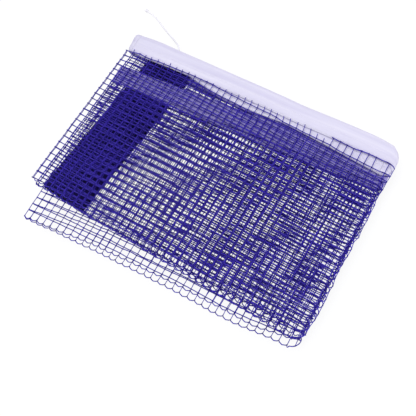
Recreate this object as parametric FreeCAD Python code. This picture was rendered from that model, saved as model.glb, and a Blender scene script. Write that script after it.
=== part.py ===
import FreeCAD, Part
import math
import os

# A table tennis net, folded flat into a bundle of eight panels.
# X runs along the tape, Y up the net, Z through the layers.
# Drawn with X = 0 at the middle of the front panel and Y = 0 at its lowest thread.

Vector = FreeCAD.Vector

# Net as cut and sewn
net_length = 1830.0
net_height = 144.5
tape_width = 15.0
tape_ply = 0.3
hem_radius = 1.0
cord_radius = 0.7
cord_clearance = 0.05
net_thickness = 0.7
rib_width = 0.9
net_lap = 5.0
net_rows = 12
cell_pitch = 9.6

# Folding
front_length = 231.0
front_set_in = 2.0
inner_set_in = 1.0
back_set_in = 9.5
sag_left = 1.4
sag_right = 9.5
skewed_sag = 5.5
third_sag = 4.0
layer_gap = 0.3
skew_length = 225.0
skew_degrees = 3.66
skew_corner_x = -106.1
skew_corner_y = -27.7
net_bulge = 4.5
tape_bulge = 3.6
front_net_bulge = 6.4
front_tape_bulge = 5.5
inner_bulge = 1.5
outer_net_bulge = -0.5
outer_tape_bulge = -1.7
fold_steps = 12

# End sleeves
sleeve_width = 40.0
sleeve_flange = 8.0
sleeve_wall = 0.45
sleeve_top_gap = 2.0
sleeve_bottom_gap = 2.0
sleeve_lean_degrees = 4.2
front_sleeve_x = -111.9
back_sleeve_x = -114.3
stitch_length = 2.2
stitch_width = 0.35
stitch_height = 0.12
stitch_pitch = 3.1
seam_inset = 3.0

# Free cord end
knot_radius = 1.3
knot_length = 3.4

# Worked out from the sizes above
layer_pitch = 2.0 * hem_radius + layer_gap
netting_height = net_height - tape_width + net_lap
net_offset = tape_ply + net_thickness / 2.0
fold_radius = layer_pitch / 2.0
flap_fold_radius = 2.0 * fold_radius
outer_fold_radius = 2.5 * layer_pitch
skew = math.radians(skew_degrees)
lean = math.radians(sleeve_lean_degrees)
left_edge = -front_length / 2.0
right_edge = front_length / 2.0
front_left = left_edge + front_set_in
inner_left = front_left + inner_set_in
back_right = right_edge - back_set_in


# Layers from the bottom up: three straight panels, the tucked end, two skewed panels, three straight ones

layer_order = ["1", "2", "3", "flap", "4", "5", "6", "7", "8"]


def layer_z(name):
    return hem_radius + layer_order.index(name) * layer_pitch


def net_side(name):
    """The net is sewn to one face of the tape, which each fold turns over."""
    if name in ("2", "4", "6", "8"):
        return 1.0
    return -1.0


# Plan positions

def straight(x):
    """A line up the net at one X."""
    def place(t):
        return Vector(x, t, 0)
    return place


def skewed(s):
    """A line up a skewed panel, s along its lowest thread."""
    def place(t):
        x = skew_corner_x + s * math.cos(skew) - t * math.sin(skew)
        y = skew_corner_y + s * math.sin(skew) + t * math.cos(skew)
        return Vector(x, y, 0)
    return place


def fold_chord(t):
    """Right end of the straight panels that fold into skewed ones."""
    low = skewed(skew_length)(0.0)
    return Vector(low.x - (t - low.y) * math.tan(skew), t, 0)


def lowered(end, sag):
    """The same line, its threads sag mm further down."""
    def place(t):
        return end(t - sag)
    return place


def leaning(x, across=0.0):
    """A line up a sleeve that leans to the right, across mm over from its left side."""
    def place(t):
        return Vector(x + across * math.cos(lean) + t * math.sin(lean),
                      t * math.cos(lean) - across * math.sin(lean), 0)
    return place


def leaning_at_height(x, across=0.0):
    """The same line, measured by Y instead of along the sleeve."""
    def place(t):
        start = leaning(x, across)(0.0)
        return Vector(start.x + (t - start.y) * math.tan(lean), t, 0)
    return place


front_seam = leaning_at_height(front_sleeve_x)
back_seam = leaning_at_height(back_sleeve_x, sleeve_width)
sagging_left = lowered(straight(inner_left), sag_left)
sagging_right = lowered(fold_chord, sag_right)
third_right = lowered(fold_chord, third_sag)
skewed_right = skewed(skew_length)
sagging_skewed_right = lowered(skewed_right, skewed_sag)


# The tape's whole length fixes where the two short panels at the back end on the left

tape_middle = net_height - tape_width / 2.0


def apart(one, other):
    """Distance along the tape between two lines up the net."""
    return (one(tape_middle) - other(tape_middle)).Length


def turn_run(radius, bulge, shear=0.0):
    """Tape in one turn: half an ellipse, drawn out sideways where the panels' ends don't meet."""
    half_ellipse = math.pi * math.sqrt((radius ** 2 + (radius + bulge) ** 2) / 2.0)
    return math.hypot(half_ellipse, shear)


used = 2.0 * sleeve_width
used += apart(straight(front_left), front_seam) + apart(straight(front_left), fold_chord)
used += 2.0 * apart(sagging_left, sagging_right)
used += skew_length + apart(skewed(0.0), sagging_skewed_right)
used += apart(back_seam, straight(back_right))
used += turn_run(outer_fold_radius, outer_tape_bulge) + 4.0 * turn_run(fold_radius, 0.0)
used += turn_run(fold_radius, front_tape_bulge, apart(sagging_right, fold_chord))
used += turn_run(fold_radius, tape_bulge, apart(sagging_right, skewed_right))
used += turn_run(flap_fold_radius, inner_bulge, apart(third_right, sagging_skewed_right))
middle_left = (back_right + third_right(tape_middle).x - (net_length - used)) / 2.0

# The net runs on past the tape's end, under the flange of its sleeve
front_net_end = leaning_at_height(front_sleeve_x, net_lap)
back_net_end = leaning_at_height(back_sleeve_x, sleeve_width - net_lap)

panel_ends = {
    "1": (back_seam, straight(back_right)),
    "2": (straight(middle_left), straight(back_right)),
    "3": (straight(middle_left), third_right),
    "flap": (straight(front_left), front_seam),
    "4": (skewed(0.0), sagging_skewed_right),
    "5": (skewed(0.0), skewed_right),
    "6": (sagging_left, sagging_right),
    "7": (sagging_left, sagging_right),
    "8": (straight(front_left), fold_chord),
}

net_ends = dict(panel_ends)
net_ends["1"] = (back_net_end, straight(back_right))
net_ends["flap"] = (straight(front_left), front_net_end)

# Sections, as (height up the net, distance from the tape's middle) pairs

def round_section(centre, radius, sides):
    return [(centre + radius * math.cos(2 * math.pi * (i + 0.5) / sides),
             radius * math.sin(2 * math.pi * (i + 0.5) / sides)) for i in range(sides)]


hem_centre = net_height - hem_radius
bore_section = round_section(hem_centre, cord_radius + cord_clearance, 12)
cord_section = round_section(hem_centre, cord_radius, 12)


def tape_section():
    """Two flat plies that open into a round hem along the top."""
    first = math.asin(tape_ply / hem_radius)
    points = [(net_height - tape_width, -tape_ply)]
    for i in range(15):
        angle = math.pi + first + i * (2 * math.pi - 2 * first) / 14.0
        points.append((hem_centre + hem_radius * math.cos(angle), hem_radius * math.sin(angle)))
    points.append((net_height - tape_width, tape_ply))
    return points


def rib_section(height, offset):
    half = rib_width / 2.0
    low = offset - net_thickness / 2.0
    high = offset + net_thickness / 2.0
    return [(height - half, low), (height - half, high), (height + half, high), (height + half, low)]


# Solids

def ring(points):
    return Part.makePolygon(points + [points[0]])


def skin(rings):
    return Part.makeLoft([ring(points) for points in rings], True, True)


def strip(section, ends, z):
    """A straight run of one section between the two ends of a panel."""
    rings = []
    for end in ends:
        rings.append([Vector(end(t).x, end(t).y, z + r) for t, r in section])
    return skin(rings)


def turn(section, upper_end, lower_end, upper_z, lower_z, outward, bulge=0.0):
    """A run that turns back on itself from an upper layer to a lower one."""
    middle = (upper_z + lower_z) / 2.0
    radius = (upper_z - lower_z) / 2.0
    rings = []
    for step in range(fold_steps + 1):
        angle = math.pi * step / fold_steps
        share = (1.0 - math.cos(angle)) / 2.0
        points = []
        for t, r in section:
            base = upper_end(t) * (1.0 - share) + lower_end(t) * share
            reach = (radius + r + bulge) * math.sin(angle)
            height = middle + (radius + r) * math.cos(angle)
            points.append(Vector(base.x + outward.x * reach, base.y + outward.y * reach, height))
        rings.append(points)
    return skin(rings)


def netting(name):
    """One panel of net as a single holed face, its holes larger than the real mesh."""
    left, right = net_ends[name]
    bottom_width = right(0.0).x - left(0.0).x
    top_width = right(netting_height).x - left(netting_height).x
    width = (bottom_width + top_width) / 2.0
    columns = max(1, round((width - rib_width) / cell_pitch))
    u_pitch = (width - rib_width) / columns / width
    v_pitch = (netting_height - rib_width) / net_rows
    u_rib = rib_width / width
    low = layer_z(name) + net_side(name) * net_offset - net_thickness / 2.0

    def place(u, t):
        point = left(t) * (1.0 - u) + right(t) * u
        return Vector(point.x, point.y, low)

    def cell(u0, u1, t0, t1):
        return Part.Face(ring([place(u0, t0), place(u1, t0), place(u1, t1), place(u0, t1)]))

    outline = cell(0.0, 1.0, 0.0, netting_height)
    holes = []
    for column in range(columns):
        for row in range(net_rows):
            holes.append(cell(u_rib + column * u_pitch, (column + 1) * u_pitch,
                              rib_width + row * v_pitch, (row + 1) * v_pitch))
    wires = [outline.OuterWire] + [hole.OuterWire for hole in holes]
    face = Part.Face(wires, "Part::FaceMakerBullseye")
    return face.extrude(Vector(0, 0, net_thickness))


def tape(section_ends, z):
    return strip(tape_section(), section_ends, z).cut(strip(bore_section, section_ends, z))


def fold_parts(upper, lower, side, bulge_net=0.0, bulge_tape=0.0):
    """Loops of net, tape and cord where one panel turns over into the next."""
    upper_end = panel_ends[upper][1 if side > 0 else 0]
    lower_end = panel_ends[lower][1 if side > 0 else 0]
    outward = Vector(side, 0, 0)
    if upper == "5" and lower == "4":
        outward = Vector(-math.cos(skew), -math.sin(skew), 0)
    upper_z = layer_z(upper)
    lower_z = layer_z(lower)
    offset = net_side(upper) * net_offset
    v_pitch = (netting_height - rib_width) / net_rows
    loops = []
    for row in range(net_rows + 1):
        section = rib_section(rib_width / 2.0 + row * v_pitch, offset)
        loops.append(turn(section, upper_end, lower_end, upper_z, lower_z, outward, bulge_net))
    shell = turn(tape_section(), upper_end, lower_end, upper_z, lower_z, outward, bulge_tape)
    bore = turn(bore_section, upper_end, lower_end, upper_z, lower_z, outward, bulge_tape)
    cord = turn(cord_section, upper_end, lower_end, upper_z, lower_z, outward, bulge_tape)
    return Part.Compound(loops), shell.cut(bore), cord


def flat_tube(x0, x1, y0, y1, radius, z):
    """A flattened tube along Y with round edges."""
    body = Part.makeBox(x1 - x0 - 2 * radius, y1 - y0, 2 * radius, Vector(x0 + radius, y0, z - radius))
    for x in (x0 + radius, x1 - radius):
        edge = Part.makeCylinder(radius, y1 - y0, Vector(x, y0, z), Vector(0, 1, 0))
        body = body.fuse(edge)
    return body.removeSplitter()


def lean_over(shape, x):
    """Lean a sleeve drawn upright from X = 0 and move it to its place."""
    moved = shape.copy()
    moved.rotate(Vector(0, 0, 0), Vector(0, 0, 1), -sleeve_lean_degrees)
    moved.translate(Vector(x, 0, 0))
    return moved


sleeve_length = net_height - sleeve_top_gap - sleeve_bottom_gap


def sleeve(x, z, flange_left):
    """A cloth tube for the clamp's post, with a flat two-ply flange sewn to the net."""
    y0 = sleeve_bottom_gap
    y1 = y0 + sleeve_length
    tube_start = sleeve_flange if flange_left else 0.0
    tube_end = tube_start + sleeve_width - sleeve_flange
    outer = flat_tube(tube_start, tube_end, y0, y1, hem_radius, z)
    inner = flat_tube(tube_start + sleeve_wall, tube_end - sleeve_wall, y0, y1, hem_radius - sleeve_wall, z)
    flange_start = 0.0 if flange_left else tube_end - hem_radius
    flange = Part.makeBox(sleeve_flange + hem_radius, sleeve_length, 2 * tape_ply,
                          Vector(flange_start, y0, z - tape_ply))
    return lean_over(outer.fuse(flange).cut(inner), x)


def stitch(x, y, z, along_y):
    size_x = stitch_width if along_y else stitch_length
    size_y = stitch_length if along_y else stitch_width
    return Part.makeBox(size_x, size_y, stitch_height, Vector(x - size_x / 2, y - size_y / 2, z))


def sleeve_stitches(x, z, flange_left):
    """The seam down the flange and the hem across the bottom, on the upper face."""
    stitches = []
    seam_x = seam_inset if flange_left else sleeve_width - seam_inset
    count = int((sleeve_length - 2 * seam_inset) / stitch_pitch)
    for i in range(count):
        y = sleeve_bottom_gap + seam_inset + (i + 0.5) * stitch_pitch
        stitches.append(stitch(seam_x, y, z + tape_ply, True))
    hem_start = (sleeve_flange if flange_left else 0.0) + 2 * hem_radius
    hem_run = sleeve_width - sleeve_flange - 4 * hem_radius
    for i in range(int(hem_run / stitch_pitch)):
        across = hem_start + (i + 0.5) * stitch_pitch
        stitches.append(stitch(across, sleeve_bottom_gap + seam_inset, z + hem_radius, False))
    return lean_over(Part.Compound(stitches), x)


# Free end of the cord: out of the hem, round over the tape's top edge and down to the table

tail_exit = front_seam(hem_centre) + Vector(0, 0, layer_z("flap"))
tail_steps = [(8.0, -0.59, 0.0), (15.6, 2.6, -0.3), (15.6, 9.6, -1.4), (6.3, 14.9, -3.1), (-4.9, 19.9, -5.1),
              (-15.8, 25.1, -6.8), (-25.8, 30.3, -7.0), (-33.6, 31.1, -6.5)]
tail_route = [tail_exit] + [tail_exit + Vector(*step) for step in tail_steps]


def rounded_path(points):
    """Straight runs joined by tangent arcs, each as large as its two runs allow."""
    edges = []
    start = points[0]
    for before, corner, after in zip(points, points[1:], points[2:]):
        into = (corner - before).normalize()
        out = (after - corner).normalize()
        half_turn = into.getAngle(out) / 2.0
        reach = 0.45 * min((corner - before).Length, (after - corner).Length)
        radius = reach / math.tan(half_turn)
        arc_start = corner - into * reach
        arc_end = corner + out * reach
        inward = (out - into).normalize()
        middle = corner + inward * (radius / math.cos(half_turn) - radius)
        edges.append(Part.LineSegment(start, arc_start).toShape())
        edges.append(Part.Arc(arc_start, middle, arc_end).toShape())
        print("tail radius", round(radius, 1))
        start = arc_end
    edges.append(Part.LineSegment(start, points[-1]).toShape())
    return Part.Wire(edges)


def tail():
    path = rounded_path(tail_route)
    first = tail_route[1] - tail_route[0]
    ring_edge = Part.makeCircle(cord_radius, tail_route[0], first)
    tube = path.makePipeShell([Part.Wire([ring_edge])], True, False)
    expected = math.pi * cord_radius ** 2 * path.Length
    print("tail length", round(path.Length, 1), "volume share", round(tube.Volume / expected, 4))
    return tube


def knot():
    """A small barrel knot that closes the cord's end."""
    along = (tail_route[-1] - tail_route[-2]).normalize()
    end = tail_route[-1]
    barrel = Part.makeCylinder(knot_radius, knot_length, end, along)
    return barrel.makeFillet(knot_radius * 0.45, [edge for edge in barrel.Edges if len(edge.Vertexes) == 1])


# The parts by name

parts = {}
for name, ends in panel_ends.items():
    parts["netting_" + name] = netting(name)
    parts["tape_" + name] = tape(ends, layer_z(name))
    parts["cord_" + name] = strip(cord_section, ends, layer_z(name))

folds = [
    ("2", "1", 1, 0.0, 0.0),
    ("3", "2", -1, 0.0, 0.0),
    ("4", "3", 1, inner_bulge, inner_bulge),
    ("5", "4", -1, 0.0, 0.0),
    ("6", "5", 1, net_bulge, tape_bulge),
    ("7", "6", -1, 0.0, 0.0),
    ("8", "7", 1, front_net_bulge, front_tape_bulge),
    ("8", "flap", -1, outer_net_bulge, outer_tape_bulge),
]
for upper, lower, side, bulge_net, bulge_tape in folds:
    loops, shell, cord = fold_parts(upper, lower, side, bulge_net, bulge_tape)
    label = upper + "_" + lower if lower == "flap" else lower + "_" + upper
    parts["netting_fold_" + label] = loops
    parts["tape_fold_" + label] = shell
    parts["cord_fold_" + label] = cord

parts["sleeve_front"] = sleeve(front_sleeve_x, layer_z("flap"), True)
parts["sleeve_back"] = sleeve(back_sleeve_x, layer_z("1"), False)
parts["stitching_front_sleeve"] = sleeve_stitches(front_sleeve_x, layer_z("flap"), True)
parts["stitching_back_sleeve"] = sleeve_stitches(back_sleeve_x, layer_z("1"), False)
parts["cord_tail"] = tail()
parts["cord_tail_knot"] = knot()

# The origin goes to the bottom centre of the bundle, measured without the free cord

box = FreeCAD.BoundBox()
for name, shape in parts.items():
    if not name.startswith("cord_tail"):
        box.add(shape.BoundBox)
origin = Vector(box.Center.x, box.Center.y, box.ZMin)
print("middle left", round(middle_left, 2), "tail exit", tail_exit)
print("origin", origin, "size", box.XLength, box.YLength, box.ZLength)

os.makedirs("parts", exist_ok=True)
for name, shape in parts.items():
    placed = shape.copy()
    placed.translate(origin * -1.0)
    placed.exportStep(os.path.join("parts", name + ".step"))
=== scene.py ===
import math

import bpy
import numpy as np
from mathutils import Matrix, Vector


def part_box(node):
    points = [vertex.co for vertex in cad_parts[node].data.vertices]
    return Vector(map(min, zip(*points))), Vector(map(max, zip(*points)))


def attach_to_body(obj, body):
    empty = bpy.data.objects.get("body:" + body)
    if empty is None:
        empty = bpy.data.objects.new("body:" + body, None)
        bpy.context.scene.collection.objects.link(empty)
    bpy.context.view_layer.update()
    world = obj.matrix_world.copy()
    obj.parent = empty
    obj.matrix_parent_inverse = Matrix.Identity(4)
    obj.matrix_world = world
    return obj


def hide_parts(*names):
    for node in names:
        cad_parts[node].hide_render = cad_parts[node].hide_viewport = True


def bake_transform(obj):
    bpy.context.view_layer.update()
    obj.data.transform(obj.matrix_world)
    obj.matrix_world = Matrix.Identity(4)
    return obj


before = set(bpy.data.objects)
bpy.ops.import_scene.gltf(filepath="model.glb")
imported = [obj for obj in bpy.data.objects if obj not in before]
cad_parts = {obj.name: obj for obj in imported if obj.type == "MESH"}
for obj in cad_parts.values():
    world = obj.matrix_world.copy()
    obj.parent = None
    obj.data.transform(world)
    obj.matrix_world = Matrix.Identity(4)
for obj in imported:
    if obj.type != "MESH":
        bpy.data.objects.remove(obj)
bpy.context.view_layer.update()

# A table tennis net folded flat: panels of violet netting under a white top tape, and a cloth sleeve
# at each end. Lengths below are millimetres along (X) and up (Y) the front panel, and go into the
# frame in metres.


# Camera
# It looks down on the bundle from the lower right, with the tape running down to the right.

lens = bpy.data.cameras.new("view_over_net")
lens.sensor_width = 36.0
lens.lens = 82.2
lens.clip_start = 0.01
camera = bpy.data.objects.new("view_over_net", lens)
camera.location = (0.27997, -0.19909, 0.61075)
camera.rotation_euler = [math.radians(angle) for angle in (26.3038, 11.5673, 33.4271)]
bpy.context.scene.collection.objects.link(camera)
bpy.context.scene.camera = camera


# Cord end
# The tension cord of the top tape comes out of the hem at the tucked end: 1.4 mm braided nylon,
# closed with a small overhand knot. It curls over the tape and hangs down behind it.

def linear(code):
    """A colour as it is seen, from its hex code to linear light."""
    shares = [int(code[i:i + 2], 16) / 255 for i in (1, 3, 5)]
    return [c / 12.92 if c < 0.04045 else ((c + 0.055) / 1.055) ** 2.4 for c in shares] + [1.0]


def add_node(material, kind, settings=None, links=None):
    """One shader node. Settings and links go by socket name or number, or by the node's own field."""
    made = material.node_tree.nodes.new("ShaderNode" + kind)
    for name, value in (settings or {}).items():
        if isinstance(name, int) or name in made.inputs:
            made.inputs[name].default_value = value
        else:
            setattr(made, name, value)
    for name, output in (links or {}).items():
        material.node_tree.links.new(output, made.inputs[name])
    return made


def new_material(name, roughness, sheen, specular=0.25):
    """A matte fibre surface; the tone and relief are linked to it afterwards."""
    material = bpy.data.materials.new(name)
    material.use_nodes = True
    surface = material.node_tree.nodes["Principled BSDF"]
    surface.inputs["Roughness"].default_value = roughness
    surface.inputs["Specular IOR Level"].default_value = specular
    surface.inputs["Sheen Weight"].default_value = sheen
    surface.inputs["Sheen Roughness"].default_value = 0.5
    return material


def dress(material, tone, relief, depth, let_through=0.0):
    """Links a colour and a height to the surface, its depth in metres; thin cloth lets light through."""
    links = material.node_tree.links
    surface = material.node_tree.nodes["Principled BSDF"]
    bump = add_node(material, "Bump", {"Strength": 0.6, "Distance": depth}, {"Height": relief})
    links.new(tone, surface.inputs["Base Color"])
    links.new(bump.outputs["Normal"], surface.inputs["Normal"])
    if let_through:
        glow = add_node(material, "BsdfTranslucent", {}, {"Color": tone})
        mixed = add_node(material, "MixShader", {0: let_through},
                         {1: surface.outputs[0], 2: glow.outputs[0]})
        links.new(mixed.outputs[0], material.node_tree.nodes["Material Output"].inputs["Surface"])


# Braided nylon: white filaments plaited at a slant, so it looks softly ribbed. The plait is 1.1 mm.
braided_nylon = new_material("braided_nylon_cord", 0.55, 0.15)
spot = add_node(braided_nylon, "TexCoord")
plait = add_node(braided_nylon, "TexWave", {"bands_direction": "DIAGONAL", "Scale": 570.0, "Distortion": 1.5},
                 {"Vector": spot.outputs["Object"]})
shade = add_node(braided_nylon, "Mix", {"data_type": "RGBA", 6: linear("#d9d7e2"), 7: linear("#f5f4f9")},
                 {0: plait.outputs["Fac"]})
dress(braided_nylon, shade.outputs[2], plait.outputs["Fac"], 0.0002)

cord_radius = 0.0007
cord_route = [
    (-0.104708, 0.085127, 0.0079), (-0.096708, 0.084537, 0.0079), (-0.089108, 0.087727, 0.0076),
    (-0.089108, 0.094727, 0.0065), (-0.098408, 0.100027, 0.0048), (-0.109608, 0.105027, 0.0028),
    (-0.120508, 0.110227, 0.0011), (-0.130508, 0.115427, 0.0009), (-0.138308, 0.116227, 0.0014),
]
curve = bpy.data.curves.new("cord_end", "CURVE")
curve.dimensions = "3D"
curve.bevel_depth = cord_radius
curve.bevel_resolution = 4
curve.resolution_u = 16
curve.use_fill_caps = True
line = curve.splines.new("NURBS")
line.points.add(len(cord_route) - 1)
for point, place in zip(line.points, cord_route):
    point.co = (*place, 1.0)
line.order_u = 3
line.use_endpoint_u = True
curve.materials.append(braided_nylon)
cord_end = bpy.data.objects.new("cord_end", curve)
bpy.context.scene.collection.objects.link(cord_end)
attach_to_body(cord_end, "tucked_end")
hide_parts("cord_tail")


def thread(path, radii, across):
    """A round strand along a path: its points and its faces. Across points sideways all along it."""
    path = np.asarray(path, float)
    along = np.gradient(path, axis=0)
    along /= np.linalg.norm(along, axis=1)[:, None]
    side = np.asarray(across, float) - (along @ np.asarray(across, float))[:, None] * along
    side /= np.linalg.norm(side, axis=1)[:, None]
    over = np.cross(along, side)
    turn = np.arange(6) * math.pi / 3
    ring = side[:, None] * np.cos(turn)[:, None] + over[:, None] * np.sin(turn)[:, None]
    points = path[:, None] + ring * (np.zeros(len(path)) + radii)[:, None, None]
    first = np.arange(len(path) - 1)[:, None] * 6
    near = first + np.arange(6)
    far = first + (np.arange(6) + 1) % 6
    walls = np.stack([near, far, far + 6, near + 6], axis=-1).reshape(-1, 4)
    last = (len(path) - 1) * 6
    caps = np.array([[3, 2, 1, 0], [5, 4, 3, 0], [last, last + 1, last + 2, last + 3],
                     [last, last + 3, last + 4, last + 5]])
    return points.reshape(-1, 3), np.concatenate([walls, caps])


def mesh_piece(name, points, faces, materials, face_material=None, weave=None):
    """A mesh object from points in metres and four-cornered faces; weave places each point in the cloth."""
    mesh = bpy.data.meshes.new(name)
    mesh.vertices.add(len(points))
    mesh.vertices.foreach_set("co", np.asarray(points, np.float32).ravel())
    mesh.loops.add(faces.size)
    mesh.loops.foreach_set("vertex_index", faces.astype(np.int32).ravel())
    mesh.polygons.add(len(faces))
    mesh.polygons.foreach_set("loop_start", np.arange(0, faces.size, 4, dtype=np.int32))
    mesh.polygons.foreach_set("use_smooth", np.ones(len(faces), bool))
    if face_material is not None:
        mesh.polygons.foreach_set("material_index", np.asarray(face_material, np.int32))
    if weave is not None:
        layer = mesh.uv_layers.new(name="weave")
        layer.data.foreach_set("uv", np.asarray(weave, np.float32)[faces.ravel()].ravel())
    mesh.update(calc_edges=True)
    mesh.validate()
    for material in materials:
        mesh.materials.append(material)
    piece = bpy.data.objects.new(name, mesh)
    bpy.context.scene.collection.objects.link(piece)
    return piece


# The overhand knot is drawn tight: a three-lobed loop of the same cord round the cord's end.
last_run = np.array(cord_route[-1]) - np.array(cord_route[-2])
last_run /= np.linalg.norm(last_run)
knot_side = np.cross(last_run, (0, 0, 1))
knot_side /= np.linalg.norm(knot_side)
knot_over = np.cross(knot_side, last_run)
knot_middle = np.array(cord_route[-1]) + last_run * 0.0014 + np.array([0, 0, 0.0004])
turns = np.linspace(0, 2 * math.pi, 73)
wide = 2 + np.cos(3 * turns)
knot_size = 0.00034
lobes = knot_size * np.stack([wide * np.cos(2 * turns), wide * np.sin(2 * turns), 2.6 * np.sin(3 * turns)],
                             axis=-1)
knot_path = knot_middle + lobes[:, :1] * knot_side + lobes[:, 1:2] * knot_over + lobes[:, 2:] * last_run
knot_cord_radius = 0.00058
points, faces = thread(knot_path, knot_cord_radius, last_run + 0.3 * knot_side)
knot = mesh_piece("cord_end_knot", points, faces, [braided_nylon])
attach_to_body(knot, "tucked_end")
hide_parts("cord_tail_knot")


# Fold plan
# The net lies in nine layers. Two panels in the middle of the stack lie askew, and each end of a
# panel is a line up the net: where it starts in X and Y, and how it runs on for each mm up the net.

layers = ["1", "2", "3", "flap", "4", "5", "6", "7", "8"]
lowest_layer = 1.0
layer_pitch = 2.3
layer_z = {name: lowest_layer + layer_pitch * i for i, name in enumerate(layers)}
net_face = {name: 1.0 if name in ("2", "4", "6", "8") else -1.0 for name in layers}
rides_on = {"1": "panel_1", "2": "panel_2", "3": "panel_3", "flap": "tucked_end"}
askew = ("4", "5")
skew = math.radians(3.66)
lean = math.radians(4.2)
skew_length = 225.0
skew_corner = np.array([-106.1, -27.7])
skew_along = np.array([math.cos(skew), math.sin(skew)])
skew_up = np.array([-math.sin(skew), math.cos(skew)])


def upright(x, slope=0.0):
    """A panel's end that stands up the net from a place in X, or slopes from it."""
    return np.array([x, 0.0]), np.array([slope, 1.0])


def leaning(x, across):
    """An end along a sleeve, some way across it from its left side."""
    return upright(x + across / math.cos(lean), math.tan(lean))


def lowered(end, sag):
    """The same end, for a panel that hangs lower there."""
    return end[0] - sag * end[1], end[1]


back_right = 106.0
middle_left = -79.53
skew_corner_right = skew_corner + skew_length * skew_along
chord = upright(skew_corner_right[0] + skew_corner_right[1] * math.tan(skew), -math.tan(skew))
skew_ends = ((skew_corner, skew_up), (skew_corner_right, skew_up))
sagging_ends = (lowered(upright(-112.5), 1.4), lowered(chord, 9.5))
ends = {
    "1": (leaning(-114.3, 40.0), upright(back_right)),
    "2": (upright(middle_left), upright(back_right)),
    "3": (upright(middle_left), lowered(chord, 4.0)),
    "flap": (upright(-113.5), leaning(-111.9, 0.0)),
    "4": (skew_ends[0], lowered(skew_ends[1], 5.5)),
    "5": skew_ends,
    "6": sagging_ends,
    "7": sagging_ends,
    "8": (upright(-113.5), chord),
}
# Upper and lower panel, right or left, and how far the net and the tape bulge past a plain half turn
folds = [
    ("2", "1", 1, 0.0, 0.0), ("3", "2", -1, 0.0, 0.0), ("4", "3", 1, 1.5, 1.5), ("5", "4", -1, 0.0, 0.0),
    ("6", "5", 1, 4.5, 3.6), ("7", "6", -1, 0.0, 0.0), ("8", "7", 1, 6.4, 5.5), ("8", "flap", -1, -0.5, -1.7),
]
origin = np.array([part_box("netting_2")[1].x - back_right / 1000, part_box("netting_2")[0].y, 0.0])


def in_frame(points):
    """Millimetres of the fold plan as metres of the frame."""
    return np.asarray(points, float) / 1000 + origin


def span(name, t, pair=None):
    """Where a panel starts and stops along itself at a height up the net."""
    t = np.asarray(t, float)
    if name in askew:
        return 0.0 * t, skew_length + 0.0 * t
    left, right = pair or ends[name]
    return left[0][0] + left[1][0] * t, right[0][0] + right[1][0] * t


def on_panel(name, a, t, r):
    """Points of a panel: a along it, t up the net and r out from the middle of its layer."""
    a, t, r = np.broadcast_arrays(np.asarray(a, float), t, r)
    start, stop = span(name, t)
    share = ((a - start) / (stop - start))[..., None]
    (left, left_up), (right, right_up) = ends[name]
    up = t[..., None]
    plan = (left + up * left_up) * (1 - share) + (right + up * right_up) * share
    return np.concatenate([plan, layer_z[name] + r[..., None]], axis=-1)


def label_of(fold):
    """How the nodes of a fold are labelled."""
    return "8_flap" if fold[1] == "flap" else fold[1] + "_" + fold[0]


def round_fold(fold, t_upper, t_lower, r, bulge, angles, tip=0.0):
    """Points of one run that turns over from the upper panel's end to the lower one's."""
    upper, lower, side = fold[:3]
    angles, t_upper, t_lower, r = np.broadcast_arrays(angles, t_upper, t_lower, r)
    share = ((1 - np.cos(angles)) / 2)[..., None]
    rise = tip * np.sin(angles)
    top, low = ends[upper][side > 0], ends[lower][side > 0]
    start = top[0] + (t_upper + rise)[..., None] * top[1]
    stop = low[0] + (t_lower + rise)[..., None] * low[1]
    outward = -skew_along if (upper, lower) == ("5", "4") else np.array([side, 0.0])
    radius = (layer_z[upper] - layer_z[lower]) / 2
    reach = ((radius + r + bulge) * np.sin(angles))[..., None]
    plan = start * (1 - share) + stop * share + outward * reach
    height = layer_z[lower] + radius + (radius + r) * np.cos(angles)
    return np.concatenate([plan, height[..., None]], axis=-1)


def attach(piece, name, slot, *nodes):
    """A panel's piece moves with the panel and stands for its plain solid."""
    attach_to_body(piece, rides_on.get(name, "front_bundle"))
    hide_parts(*nodes)


def attach_fold(piece, fold, slot, *nodes):
    """A fold's piece moves with both panels where they stay together, and otherwise stays where it lies."""
    upper, lower = fold[:2]
    bodies = [rides_on.get(name, "front_bundle") for name in (lower, upper)]
    if bodies[0] == bodies[1]:
        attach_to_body(piece, bodies[0])
    else:
        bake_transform(piece)
    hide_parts(*nodes)


# Cord in the hem
# The same braided cord runs the whole length of the net inside the wide hem of the tape. The tape
# isn't pulled tight in the bundle, so it bows a little, most at the corners of the front panel.

tape_low = 129.5
tape_top = 144.5
hem_middle = 142.6
half_turn = np.linspace(0, math.pi, 13)
wave_height = 0.35
wave_run = 31.0


def soft_line(a, places, values):
    """A value given at a few places, run smoothly in between."""
    return sum(np.interp(a + shift, places, values) for shift in (-5.0, -2.0, 2.0, 5.0)) / 4


def slack(name, a):
    """How far the tapes of panels 6 and 7 lie above the straight lines between their ends."""
    if name not in ("6", "7"):
        return 0.0
    return soft_line(a, [-112, -100, -66, -44, -20, 8, 30, 75, 112],
                     [0.8, 3.2, 4.8, 1.6, -0.6, 0.8, 3.4, 2.6, 1.3])


def bow(name, a, t):
    """How far the tape lies above its straight line at a place along it."""
    a = np.asarray(a, float)
    if name == "8":
        top = soft_line(a, [-118, -110, -98, 18, 36, 60, 84, 98, 104, 112],
                        [-1.5, -0.5, 0.4, 0.5, 0.0, 0.8, 1.2, 1.1, 0.6, -0.8])
        low = soft_line(a, [-117, -107, -101, -83, -60, -8, 8, 40, 60, 118],
                        [-1.2, -2.1, -2.3, -1.1, -0.4, 1.1, 1.1, 0.4, 0.8, 0.8])
        share = np.clip((t - tape_low) / (tape_top - tape_low), 0, 1)
        return low * (1 - share) + top * share
    return slack(name, a) + wave_height * np.sin(a / wave_run + 2.0 * layers.index(name))


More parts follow.
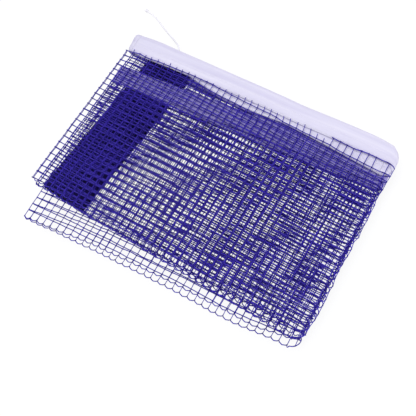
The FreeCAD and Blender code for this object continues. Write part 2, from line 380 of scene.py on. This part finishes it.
for name in layers:
    left, right = span(name, hem_middle)
    a = np.linspace(left, right, 25)
    path = on_panel(name, a, hem_middle + bow(name, a, hem_middle), 0.0)
    points, faces = thread(in_frame(path), cord_radius, (0, 1, 0))
    attach(mesh_piece("hem_cord_" + name, points, faces, [braided_nylon]), name, "cord", "cord_" + name)


def fold_bow(fold, t):
    """Heights of a tape's run at the two panels that a fold joins."""
    upper, lower, side = fold[:3]
    return [t + bow(name, span(name, t)[side > 0], t) for name in (upper, lower)]


def corner_bulge(fold, t):
    """The tape's turns at the right are rounded off towards the top edge."""
    upper, lower, side, _, bulge = fold
    if lower == "flap":
        return bulge + np.interp(t, [130, 143], [0.3, 2.5])
    if side < 0:
        return bulge + 0.0 * np.asarray(t)
    if upper == "8":
        return np.interp(t, [129.5, 137.5, 140.5, 142.5, 144.4], [7.2, 7.1, 6.3, 5.0, 2.6])
    share = np.interp(t, [129.5, 131, 136, 139, 141.5, 144.5], [0.0, 0.01, 0.15, 0.46, 0.95, 1.0])
    return (bulge + 0.9) * (1 - share) - 0.7 * share


for fold in folds:
    over, under = fold_bow(fold, hem_middle)
    path = round_fold(fold, over, under, 0.0, corner_bulge(fold, hem_middle), half_turn)
    points, faces = thread(in_frame(path), cord_radius, (0, 1, 0))
    piece = mesh_piece("hem_cord_fold_" + label_of(fold), points, faces, [braided_nylon])
    attach_fold(piece, fold, "cord", "cord_fold_" + label_of(fold))


# Top tape
# A 32 mm cotton tape folded lengthwise over the cord, 15 mm deep in all. A row of stitches under the
# cord makes a soft 8 mm hem, and a second row closes the two plies along the lower edge.

# Bleached cotton twill: soft white with a cool cast, faint streaks of painted shade along the tape, and a
# fine weave, drawn at 0.8 mm because the real 0.3 mm is too fine to show. It is thin enough to let some
# light through, and carries a faint painted violet glow for light that reaches it through the bundle.
# Inside the bundle it is painted darker and more violet, for the shade and the net's violet light there.
twill_scale = 392.0


def weave_threads(material, spot, scale):
    """Warp and weft threads, as two crossed patterns of waves."""
    return [add_node(material, "TexWave", {"bands_direction": way, "Scale": scale},
                     {"Vector": spot.outputs["UV"]}) for way in ("X", "Y")]


def cotton_twill(name, dark, light):
    """The tape's cloth, between a dark and a light tone."""
    material = new_material(name, 0.85, 0.05, 0.15)
    surface = material.node_tree.nodes["Principled BSDF"]
    # A faint violet glow: painted light, standing in for light that comes through the bundle onto the tape
    surface.inputs["Emission Color"].default_value = (0.25, 0.2, 1.0, 1.0)
    surface.inputs["Emission Strength"].default_value = 0.05
    spot = add_node(material, "UVMap", {"uv_map": "weave"})
    place = add_node(material, "Mapping", {"Scale": (9.0, 260.0, 1.0)}, {"Vector": spot.outputs["UV"]})
    # Lengthwise streaks of painted shade, like the shading along the hem and the seam
    streak = add_node(material, "TexNoise", {"Scale": 1.0, "Detail": 2.0}, {"Vector": place.outputs[0]})
    level = add_node(material, "MapRange", {1: 0.3, 2: 0.7}, {0: streak.outputs["Fac"]})
    shade = add_node(material, "Mix", {"data_type": "RGBA", 6: linear(dark), 7: linear(light)},
                     {0: level.outputs[0]})
    warp, weft = weave_threads(material, spot, twill_scale)
    cloth = add_node(material, "Math", {"operation": "MULTIPLY"},
                     {0: warp.outputs["Fac"], 1: weft.outputs["Fac"]})
    dress(material, shade.outputs[2], cloth.outputs[0], 0.00012, 0.3)
    return material


cotton_tape = cotton_twill("bleached_cotton_tape", "#d9d6e8", "#e7e5f0")
# The tapes inside the bundle: the same cloth painted darker and more violet, for the shade and the net's
# violet light there
shaded_inner_tape = cotton_twill("bleached_cotton_tape_painted_shade", "#a49cd8", "#b9b1e6")

# Polyester sewing thread: smooth, a little brighter than the tape, with a slight gloss
white_thread = new_material("white_sewing_thread", 0.45, 0.2)
spot = add_node(white_thread, "TexCoord")
ply = add_node(white_thread, "TexWave", {"bands_direction": "DIAGONAL", "Scale": 1200.0},
               {"Vector": spot.outputs["Object"]})
shade = add_node(white_thread, "Mix", {"data_type": "RGBA", 6: linear("#cfcbe4"), 7: linear("#f7f6fb")},
                 {0: ply.outputs["Fac"]})
dress(white_thread, shade.outputs[2], ply.outputs["Fac"], 0.00005)

tape_ply = 0.3
seam_heights = (130.5, 135.9)
stitch_radius = 0.12
tape_stitch_pitch = 3.2
net_repeat = 5.85
# One side of the folded tape, from its lower edge to the fold on top: heights, and distances from
# the middle
side_t = np.array([129.5, 130.1, 131.2, 132.4, 133.6, 134.8, 135.6, 136.2,
                   137.0, 138.0, 139.4, 141.0, 142.4, 143.4, 144.1, 144.4])
side_r = np.array([0.34, 0.46, 0.60, 0.65, 0.65, 0.61, 0.57, 0.57,
                   0.62, 0.69, 0.77, 0.84, 0.80, 0.62, 0.36, 0.15])
section_t = np.concatenate([side_t, side_t[::-1]])
section_r = np.concatenate([-side_r, side_r[::-1]])
section_run = np.concatenate([[0], np.cumsum(np.hypot(np.diff(section_t), np.diff(section_r)))])
front_fold = folds[6]
edge_lean = 0.95
grid_step = 0.8


def lean_down(name):
    """The front panel's tape rests on the next one with its lower edge."""
    if name != "8":
        return 0.0 * section_t
    return edge_lean * np.clip((133 - section_t) / 3.5, 0, 1)


def grid_faces(rows, columns):
    """Faces of a sheet whose points come in rows."""
    corner = np.arange(rows - 1)[:, None] * columns + np.arange(columns - 1)
    return np.stack([corner, corner + 1, corner + columns + 1, corner + columns], axis=-1).reshape(-1, 4)


def ripples(seed, count=6, shortest=18.0, longest=70.0):
    """A smooth random field over a panel, about 1 at most."""
    draw = np.random.RandomState(seed)
    size = 2 * math.pi / draw.uniform(shortest, longest, count)
    way = draw.uniform(0, 2 * math.pi, count)
    start = draw.uniform(0, 2 * math.pi, count)

    def field(a, t):
        a, t = np.broadcast_arrays(np.asarray(a, float), np.asarray(t, float))
        waves = np.sin(a[..., None] * size * np.cos(way) + t[..., None] * size * np.sin(way) + start)
        return waves.sum(axis=-1) / math.sqrt(count * 1.5)
    return field


def sheet_piece(name, grid, along, across, material, thickness):
    """A woven sheet from a grid of points; along and across give each point's place in the cloth in mm."""
    weave = np.stack(np.broadcast_arrays(along, across), axis=-1).reshape(-1, 2) / 1000
    faces = grid_faces(*grid.shape[:2])
    piece = mesh_piece(name, in_frame(grid).reshape(-1, 3), faces, [material], weave=weave)
    solid = piece.modifiers.new("plies", "SOLIDIFY")
    solid.thickness = thickness / 1000
    solid.offset = 0.0
    return piece


def stitch_row(start, stop, pitch, place):
    """A row of lockstitches; place gives points on the cloth for steps along it and out from it."""
    points, faces, total = [], [], 0
    count = max(1, int((stop - start) / pitch))
    for i in range(count):
        middle = start + (i + 0.5) * pitch
        steps = middle + np.array([-0.42, -0.3, 0.0, 0.3, 0.42]) * pitch
        path = place(steps, np.array([-0.1, 0.04, 0.1, 0.04, -0.1]))
        across = np.cross(path[-1] - path[0], (0, 0, 1))
        stitch, walls = thread(path, stitch_radius, across)
        points.append(stitch)
        faces.append(walls + total)
        total += len(stitch)
    return np.concatenate(points), np.concatenate(faces)


def tape_turn(fold):
    """Points of the tape round one fold, and how far each lies along the tape."""
    angles = np.linspace(0, math.pi, 25)[:, None]
    over, under = fold_bow(fold, section_t)
    grid = round_fold(fold, over, under, section_r - lean_down(fold[0]) * np.cos(angles / 2) ** 2,
                      corner_bulge(fold, section_t), angles)
    radius = (layer_z[fold[0]] - layer_z[fold[1]]) / 2 + fold[4]
    return grid, angles * radius + 0.0 * section_t


def gather(parts):
    """Several strands as one mesh."""
    shift = np.cumsum([0] + [len(points) for points, _ in parts])
    return (np.concatenate([points for points, _ in parts]),
            np.concatenate([faces + s for (_, faces), s in zip(parts, shift)]))


for index, name in enumerate(layers):
    left, right = span(name, section_t)
    steps = max(6, int((right - left).mean() / grid_step))
    u = np.linspace(0, 1, steps + 1)[:, None]
    a = left * (1 - u) + right * u
    settle = np.clip(np.minimum(a - left, right - a) / 10, 0, 1)
    wrinkle = 0.08 * settle * ripples(40 + index, shortest=9.0, longest=40.0)(a, section_t * 2.5)
    # The net's upright threads press through the cloth as faint ridges
    ridge = 0.07 * np.clip(np.cos(a * 2 * math.pi / net_repeat), 0, 1) ** 6
    ridge = ridge * np.clip((134.5 - section_t) / 2, 0, 1)
    r = section_r + np.sign(section_r) * settle * ridge + wrinkle - lean_down(name)
    grid = on_panel(name, a, section_t + bow(name, a, section_t), r)
    # Tapes inside the bundle take the copy painted with shade
    cotton = cotton_tape if name in ("7", "8") else shaded_inner_tape
    nodes = ["tape_" + name]
    if name == "8":
        # The front panel's tape runs on round its right fold in one piece
        turned, turned_a = tape_turn(front_fold)
        grid = np.concatenate([grid, turned[1:]])
        a = np.concatenate([a, a[-1] + turned_a[1:]])
        nodes.append("tape_fold_7_8")
    piece = sheet_piece("top_tape_" + name, grid, a, section_run, cotton, tape_ply)
    attach(piece, name, "tape", *nodes)
    rows = []
    for height in seam_heights:
        start, stop = span(name, height)
        out = float(np.interp(height, side_t, side_r)) + 0.15
        for face in (1, -1):
            def seam_place(steps, rise):
                return on_panel(name, steps, height + bow(name, steps, height), face * (out + rise))
            rows.append(stitch_row(float(start) + 1.5, float(stop) - 1.5, tape_stitch_pitch, seam_place))
    points, faces = gather(rows)
    seam = mesh_piece("tape_stitches_" + name, in_frame(points), faces, [white_thread])
    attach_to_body(seam, rides_on.get(name, "front_bundle"))

for fold in folds:
    if fold == front_fold:
        continue
    grid, run = tape_turn(fold)
    # Folds inside the bundle take the copy painted with shade
    cotton = cotton_tape if fold[0] == "8" else shaded_inner_tape
    piece = sheet_piece("top_tape_fold_" + label_of(fold), grid, run, section_run, cotton, tape_ply)
    attach_fold(piece, fold, "tape", "tape_fold_" + label_of(fold))


# Netting
# Knotless mesh of about 6 mm squares in violet polyester twine. The lengthwise threads are the thicker ones
# and have a small dark node at each crossing. The top edge is cut a little askew to the threads and
# sewn on the face of the tape along its lower edge, where the cut ends of the upright threads show.

# Polyester twine: matt violet-blue, spun, so each strand has a fine slanting twist of about 0.7 mm
def twine(name, dark, light):
    """A spun twine, between a dark and a light tone."""
    material = new_material(name, 0.7, 0.08, 0.1)
    spot = add_node(material, "TexCoord")
    ply = add_node(material, "TexWave", {"bands_direction": "DIAGONAL", "Scale": 900.0, "Distortion": 2.0},
                   {"Vector": spot.outputs["Object"]})
    patch = add_node(material, "TexNoise", {"Scale": 90.0, "Detail": 2.0}, {"Vector": spot.outputs["Object"]})
    mixed = add_node(material, "Math", {"operation": "MULTIPLY_ADD", 1: 0.35},
                     {0: ply.outputs["Fac"], 2: patch.outputs["Fac"]})
    span_of_tone = add_node(material, "MapRange", {1: 0.35, 2: 1.0}, {0: mixed.outputs[0]})
    shade = add_node(material, "Mix", {"data_type": "RGBA", 6: linear(dark), 7: linear(light)},
                     {0: span_of_tone.outputs[0]})
    dress(material, shade.outputs[2], ply.outputs["Fac"], 0.00012)
    return material


net_twine = twine("violet_polyester_twine", "#251787", "#3c2cb0")
net_node = twine("violet_twine_node", "#180b66", "#271a8c")

twine_out = 0.65
row_radius = 0.37
upright_radius = 0.28
node_radius = 0.48
row_count = 26
columns = range(-4, 48)
row_pitch = 5.92
row_tightening = 0.0217
row_repeat = 5.8
# The last row before the tape runs along its lower edge at the right of the front panel
sewn_row = 25
# Rows sink towards the right of the front panel, from one place on and over a run, and less in others
front_fall = 8.0
fall_start = -43
fall_run = 153
sink = {"6": (0.0, 1.0), "5": (2.0, 3.0), "4": (2.0, 1.0), "3": (0.0, 1.0)}
# Uprights: how many pitches the front panel is wide, and their pitch in the two skewed panels
front_pitches = 38.6
skewed_pitch = 6.08
# Each layer's threads against those of the front panel, as they show through the stack
row_offset = {"3": 1.4, "2": -0.3, "1": 0.6}
row_lag = {"7": -0.7, "6": 1.4, "5": 2.4}
upright_offset = {"7": 0.35, "6": -0.35, "5": 1.6, "4": 1.1, "3": 2.8, "2": -0.3, "1": 0.2}
# The rows of the two skewed panels wander up from their straight lines, most at their lower edges
climbs = {"5": ([5, 68, 120, 172, 198, 224], [1.0, 4.9, 4.0, 2.7, 1.5, 4.5]),
          "4": ([0, 68, 120, 172, 192, 220], [0.7, 2.4, 2.4, 1.9, 2.1, 4.0])}
# How far a point moves in the camera's picture of the top plane, for each mm that it lies deeper
sight_x = 0.449
sight_y = 0.308
# How far the net laps over the tape at the left, how far its lowest thread sags, and how far
# crossings stray from their places, each on its own and in slow waves
lap = 1.2
scallop = -1.5
jitter_size = 0.13
drift_size = 0.35
net_ends = dict(ends)
net_ends["1"] = (leaning(-114.3, 35.0), upright(back_right))
net_ends["flap"] = (upright(-113.5), leaning(-111.9, 5.0))


def tape_edge(name, a):
    """Height of the tape's lower edge, along which the net is sewn."""
    return tape_low + bow(name, a, tape_low)


def cut_edge(name, a):
    """Height of the net's cut edge: over the tape's lower edge at the left, and under it at the right."""
    return tape_edge(name, a) + np.interp(a, [-60, -20, 40, 63, 64], [lap, 0.5, -1.3, -1.3, 0.5])


def net_out(name, a, t):
    """The net lies to one side of its layer's middle, and further out where it laps over the tape."""
    return net_face[name] * (twine_out + 0.35 * np.clip((t - tape_edge(name, a) + 4) / 4, 0, 1))


def row_height(name, k, a):
    """Height of lengthwise thread k at a place along its panel."""
    depth = layer_z["8"] - layer_z[name]
    left, right = span(name, 60.0, net_ends[name])
    height = row_pitch * k - row_tightening * k ** 2
    first, last = sink.get(name, (0.0, 0.0))
    fall = first + (last - first) * (a - left) / (right - left)
    lift = 0.5 * (height / 125) ** 4 * np.clip((a - left) / 8, 0, 1)
    shift = 0.0
    if name in row_offset:
        shift = (sight_y * depth + row_offset[name] + row_repeat / 2) % row_repeat - row_repeat / 2
    elif name == "flap":
        shift = 2 * sight_y * depth
    elif name == "8":
        # The top rows follow the tape's edge where it hangs, and dip at the upper left corner
        shift = 2 * np.minimum(0, bow(name, a, tape_low)) * (height / 129) ** 2
        fall = front_fall * np.clip((a - fall_start) / fall_run, 0, 1.0)
        lift = lift - 1.7 * (height / 129) ** 4 * np.clip((-104 - a) / 10, 0, 1)
    climb = np.interp(a, *climbs[name]) * (1 - height / 145) if name in climbs else 0.0
    natural = height + shift * 0.5 + lift + climb - (fall + row_lag.get(name, 0.0)) * height / 125
    if name == "8" and k == sewn_row:
        return np.where(np.asarray(a) > 50, np.maximum(natural, tape_edge(name, a) - 0.1), natural)
    return natural


def upright_place(name, j, t):
    """Place along its panel of upright thread j at a height up the net."""
    if name in askew:
        return (j + 0.55) * skewed_pitch + upright_offset[name] + 0.0 * t
    depth = layer_z["8"] - layer_z[name]
    left, right = span("8", t - sight_y * depth)
    return left + (j + 0.6) * (right - left) / front_pitches - sight_x * depth + upright_offset.get(name, 0.0)


def end_rows(name, side):
    """Heights of the rows at one end of a panel; there are none above the tape's lower edge."""
    a = span(name, 60.0, net_ends[name])[side > 0]
    heights = np.array([row_height(name, k, a) for k in range(row_count)])
    return heights[heights < cut_edge(name, a)]


cell_steps = np.array([0.0, 0.14, 0.5, 0.86])


def drawn(nodes, sag):
    """A strand through its crossings: points between them, and which of them are nodes."""
    path = []
    for before, after in zip(nodes, nodes[1:]):
        for step, share in zip(cell_steps, (0.0, 0.5, 1.0, 0.5)):
            point = before + (after - before) * step
            point[1] += share * sag
            path.append(point)
    path.append(nodes[-1])
    knots = np.arange(len(path)) % len(cell_steps) == 0
    return np.array(path), knots


def panel_net(name, seed):
    """All the strands of one panel, as points along, up and out, joined into one mesh."""
    draw = np.random.RandomState(seed)
    drift_a = ripples(seed + 1, shortest=25.0, longest=110.0)
    drift_t = ripples(seed + 2, shortest=20.0, longest=90.0)
    crossings = {}
    for k in range(row_count):
        for j in columns:
            t = row_height(name, k, 0.0)
            a = float(upright_place(name, j, t))
            t = float(row_height(name, k, a))
            a = float(upright_place(name, j, t))
            left, right = span(name, t, net_ends[name])
            jitter = draw.normal(0, jitter_size, 3)
            if a < left + 0.8 or a > right - 0.8 or t > cut_edge(name, a):
                continue
            settle = min(1.0, min(a - left, right - a) / 8)
            a += settle * (drift_size * float(drift_a(a, t)) + jitter[0])
            t += settle * (drift_size * float(drift_t(a, t)) + jitter[1])
            crossings[k, j] = np.array([a, t, net_out(name, a, t) + 0.4 * jitter[2]])
    strands, face_material = [], []

    def lay(path, knots, plain, at_node, across):
        radii = np.where(knots, at_node, plain)
        points, faces = thread(on_panel(name, path[:, 0], path[:, 1], path[:, 2]), radii, across)
        strands.append((points, faces))
        mark = (knots[:-1] | knots[1:]).repeat(6)
        face_material.extend(list(mark) + [False] * 4)

    for k in range(row_count):
        found = sorted((j for kk, j in crossings if kk == k))
        if not found:
            continue
        nodes = [crossings[k, j] for j in found]
        ends_at = []
        for side in (-1, 1):
            heights = end_rows(name, side)
            if k < len(heights):
                t = heights[k]
                edge = float(span(name, t, net_ends[name])[side > 0])
                ends_at.append(np.array([edge, t, net_out(name, edge, t)]))
            else:
                last = nodes[0] if side < 0 else nodes[-1]
                ends_at.append(last + np.array([side * 1.5, 0.4, 0.0]))
        sag = scallop if k == 0 else draw.uniform(-0.25, 0.1)
        path, knots = drawn([ends_at[0]] + nodes + [ends_at[1]], sag)
        knots[0] = knots[-1] = False
        lay(path, knots, row_radius, node_radius, (0, 1, 0))
    for j in columns:
        found = sorted(k for k, jj in crossings if jj == j)
        if len(found) < 2:
            continue
        nodes = [crossings[k, j] for k in found]
        top = nodes[-1].copy()
        top[0] += draw.normal(0, 0.2)
        tip = np.interp(top[0], [-60, -20, 50, 60], [lap + 0.8, 0.3, 0.3, -3.0])
        tip = float(tape_edge(name, top[0]) + tip)
        top[1] = max(top[1] + 0.5, tip + draw.normal(0, 0.35))
        top[0] -= 0.28 * (top[1] - nodes[-1][1])
        top[2] = float(net_out(name, top[0], top[1]))
        path, knots = drawn(nodes + [top], 0.0)
        knots[-1] = False
        lay(path, knots, upright_radius, upright_radius * 1.3, (1, 0, 0))
    points, faces = gather(strands)
    return points, faces, face_material


def fold_net(fold, seed):
    """The loops of one fold, and the upright threads that lie round it."""
    upper, lower, side, bulge = fold[:4]
    draw = np.random.RandomState(seed)
    angles = np.linspace(0, math.pi, 17)
    edge = float(span(upper, 60.0, net_ends[upper])[side > 0])
    run = math.pi * ((layer_z[upper] - layer_z[lower]) / 2 + net_face[upper] * twine_out + bulge / 2)
    upright_count = max(1, round(run / 6.0))
    uprights = (np.arange(upright_count) + 0.5) * math.pi / upright_count
    tops, lows = end_rows(upper, side), end_rows(lower, side)
    while len(lows) < len(tops):
        lows = np.append(lows, lows[-1] + 4.0)
    loose = 1.0 if bulge > 0 else 0.35
    knots = np.min(np.abs(angles[:, None] - uprights), axis=1) < 0.14
    strands, face_material, hooks = [], [], []
    for top, low in zip(tops, lows):
        own_bulge = bulge + draw.uniform(-0.9, 0.9) * loose
        tip = draw.uniform(-1.2, 1.2) * loose
        r = float(net_out(upper, edge, top))

        def point(angle):
            return round_fold(fold, top, low, r, own_bulge, angle, tip)
        radii = np.where(knots, node_radius, row_radius)
        points, faces = thread(point(angles), radii, (0, 1, 0))
        strands.append((points, faces))
        face_material.extend(list((knots[:-1] | knots[1:]).repeat(6)) + [False] * 4)
        hooks.append(point(uprights))
    for i in range(upright_count):
        nodes = np.array([hook[i] for hook in hooks])
        path = np.concatenate([nodes[:-1, None] + (nodes[1:] - nodes[:-1])[:, None] * cell_steps[:, None],
                               nodes[-1:, None].repeat(4, axis=1)]).reshape(-1, 3)[:-3]
        points, faces = thread(path, upright_radius, (1, 0, 0.2))
        strands.append((points, faces))
        face_material.extend([False] * len(faces))
    points, faces = gather(strands)
    return points, faces, face_material


for index, fold in enumerate(folds):
    points, faces, marks = fold_net(fold, 300 + index)
    piece = mesh_piece("net_fold_" + label_of(fold), in_frame(points), faces, [net_twine, net_node], marks)
    attach_fold(piece, fold, "netting", "netting_fold_" + label_of(fold))
for index, name in enumerate(layers):
    points, faces, marks = panel_net(name, 100 + 10 * index)
    piece = mesh_piece("net_" + name, in_frame(points), faces, [net_twine, net_node], marks)
    attach(piece, name, "netting", "netting_" + name)
    left, right = span(name, 60.0, net_ends[name])


# End sleeves
# A flat tube of dark cloth for the clamp's post, 32 mm wide and 140 mm long, with an 8 mm flange that
# is sewn over the net's end. One lies in the tucked end, the other under the whole stack.

# Plain-woven polyester: dark navy with a violet cast, matt, its threads drawn at 0.9 mm because the
# real 0.4 mm is too fine to show. Its tones are set darker than the cloth itself, as painted shade from the
# net stacked over it.
plain_weave_scale = 349.0
sleeve_cloth = new_material("navy_woven_polyester", 0.8, 0.08, 0.12)
spot = add_node(sleeve_cloth, "UVMap", {"uv_map": "weave"})
warp, weft = weave_threads(sleeve_cloth, spot, plain_weave_scale)
cloth = add_node(sleeve_cloth, "Math", {"operation": "ADD"}, {0: warp.outputs["Fac"], 1: weft.outputs["Fac"]})
wear = add_node(sleeve_cloth, "TexNoise", {"Scale": 60.0, "Detail": 3.0}, {"Vector": spot.outputs["UV"]})
tone = add_node(sleeve_cloth, "Math", {"operation": "MULTIPLY_ADD", 1: 0.25},
                {0: cloth.outputs[0], 2: wear.outputs["Fac"]})
level = add_node(sleeve_cloth, "MapRange", {1: 0.4, 2: 1.1}, {0: tone.outputs[0]})
# Dark navy, partly the cloth's own colour and partly painted shade of the stack over the sleeve
shade = add_node(sleeve_cloth, "Mix", {"data_type": "RGBA", 6: linear("#0c0340"), 7: linear("#180d5a")},
                 {0: level.outputs[0]})
dress(sleeve_cloth, shade.outputs[2], cloth.outputs[0], 0.0001)
navy_thread = twine("navy_sewing_thread", "#241878", "#3a2e9c")

sleeve_width = 40.0
sleeve_wall = 0.4
wall_out = 0.775
flange_out = 0.2
sleeve_stitch_pitch = 3.1
seam_places = (2.4, 5.4)
hem_places = (5.6, 138.3)
turn_steps = np.linspace(math.pi / 2, -math.pi / 2, 9)
upper_across = np.array([0, 2, 3, 4, 6, 7.6, 8.4, 9.4, 11, 14, 17, 20, 23, 26, 29, 32, 35, 37.5])
upper_out = np.interp(upper_across, [0, 7.6, 9.4, sleeve_width], [flange_out, flange_out, wall_out, wall_out])
turn_middle = sleeve_width - wall_out - sleeve_wall / 2
across = np.concatenate([upper_across, turn_middle + wall_out * np.cos(turn_steps),
                         upper_across[::-1]])
out = np.concatenate([upper_out, wall_out * np.sin(turn_steps), -upper_out[::-1]])
cloth_run = np.concatenate([[0], np.cumsum(np.hypot(np.diff(across), np.diff(out)))])
sleeve_y = np.concatenate([[2.0, 2.4, 3.0], np.linspace(5, 139.5, 46), [141.3, 142.1, 142.5]])


def on_sleeve(start_x, layer, mirrored, over, y, r):
    """Points of a sleeve, which leans to the right: over from its left side, y along it, r out."""
    over, y, r = np.broadcast_arrays(np.asarray(over, float), y, r)
    over = sleeve_width - over if mirrored else over
    return np.stack([start_x + over * math.cos(lean) + y * math.sin(lean),
                     y * math.cos(lean) - over * math.sin(lean), layer_z[layer] + r], axis=-1)


for which, start_x, layer, mirrored in (("front", -111.9, "flap", False), ("back", -114.3, "1", True)):
    y = sleeve_y[:, None]
    hem_step = 0.12 * (np.clip((8.4 - y) / 0.5, 0, 1) + np.clip((y - 136.1) / 0.5, 0, 1))
    crumple = 0.14 * ripples(500 + len(which), shortest=12.0, longest=45.0)(across, y)
    crumple = crumple * np.clip(across / 12, 0, 1)
    r = out + np.where(out > 0, hem_step, 0.0) + crumple * np.where(np.abs(out) > 0.5, 1, 0)
    grid = on_sleeve(start_x, layer, mirrored, across, y, np.clip(r, -0.8, 1.2))
    piece = sheet_piece("sleeve_cloth_" + which, grid, y, cloth_run, sleeve_cloth, sleeve_wall)
    attach(piece, layer, "sleeve_cloth", "sleeve_" + which)
    rows = []
    for over in seam_places:
        for face in (1, -1):
            def along_seam(steps, rise):
                return on_sleeve(start_x, layer, mirrored, over, steps, face * (0.36 + rise))
            rows.append(stitch_row(4.5, 140.5, sleeve_stitch_pitch, along_seam))
    for height in hem_places:
        def along_hem(steps, rise):
            return on_sleeve(start_x, layer, mirrored, steps, height, 1.0 + rise)
        rows.append(stitch_row(10.5, 37.0, sleeve_stitch_pitch, along_hem))
    points, faces = gather(rows)
    seam = mesh_piece("sleeve_stitches_" + which, in_frame(points), faces, [navy_thread])
    attach(seam, layer, "thread", "stitching_" + which + "_sleeve")


# Floor and light
# A plain white floor that keeps a soft shadow, an even white surround and one broad soft lamp.

floor_paint = bpy.data.materials.new("white_floor_paint")
floor_paint.use_nodes = True
surface = floor_paint.node_tree.nodes["Principled BSDF"]
surface.inputs["Base Color"].default_value = linear("#f6f6f8")
surface.inputs["Roughness"].default_value = 0.9
surface.inputs["Specular IOR Level"].default_value = 0.0
white = add_node(floor_paint, "Emission", {"Color": (1, 1, 1, 1), "Strength": 1.0})
ray = add_node(floor_paint, "LightPath")
seen = add_node(floor_paint, "Math", {"operation": "MAXIMUM"},
                {0: ray.outputs["Is Camera Ray"], 1: ray.outputs["Is Glossy Ray"]})
share = add_node(floor_paint, "Math", {"operation": "MULTIPLY", 1: 0.86}, {0: seen.outputs[0]})
mixed = add_node(floor_paint, "MixShader", {},
                 {0: share.outputs[0], 1: surface.outputs[0], 2: white.outputs[0]})
shown = floor_paint.node_tree.nodes["Material Output"].inputs["Surface"]
floor_paint.node_tree.links.new(mixed.outputs[0], shown)
floor_reach = 3
floor_height = -0.0004
corners = np.array([[x * floor_reach, y * floor_reach, floor_height]
                    for x, y in ((-1, -1), (1, -1), (1, 1), (-1, 1))])
floor = mesh_piece("floor", corners, np.array([[0, 1, 2, 3]]), [floor_paint])

world = bpy.data.worlds.new("white_surround")
bpy.context.scene.world = world
world.use_nodes = True
sky = world.node_tree.nodes["Background"]
sky.inputs["Color"].default_value = (1, 1, 1, 1)
ray = add_node(world, "LightPath")
strength = add_node(world, "MapRange", {3: 0.74, 4: 1.0}, {0: ray.outputs["Is Camera Ray"]})
world.node_tree.links.new(strength.outputs[0], sky.inputs["Strength"])

lamp = bpy.data.lights.new("broad_lamp", "AREA")
lamp.shape = "DISK"
lamp.size = 0.9
lamp.energy = 10.2
lamp_stand = bpy.data.objects.new("broad_lamp", lamp)
lamp_stand.location = (0.15, -0.05, 1.2)
lamp_stand.rotation_euler = [math.radians(angle) for angle in (3.0, 7.0, 0.0)]
bpy.context.scene.collection.objects.link(lamp_stand)

bpy.context.scene.view_settings.view_transform = "Standard"
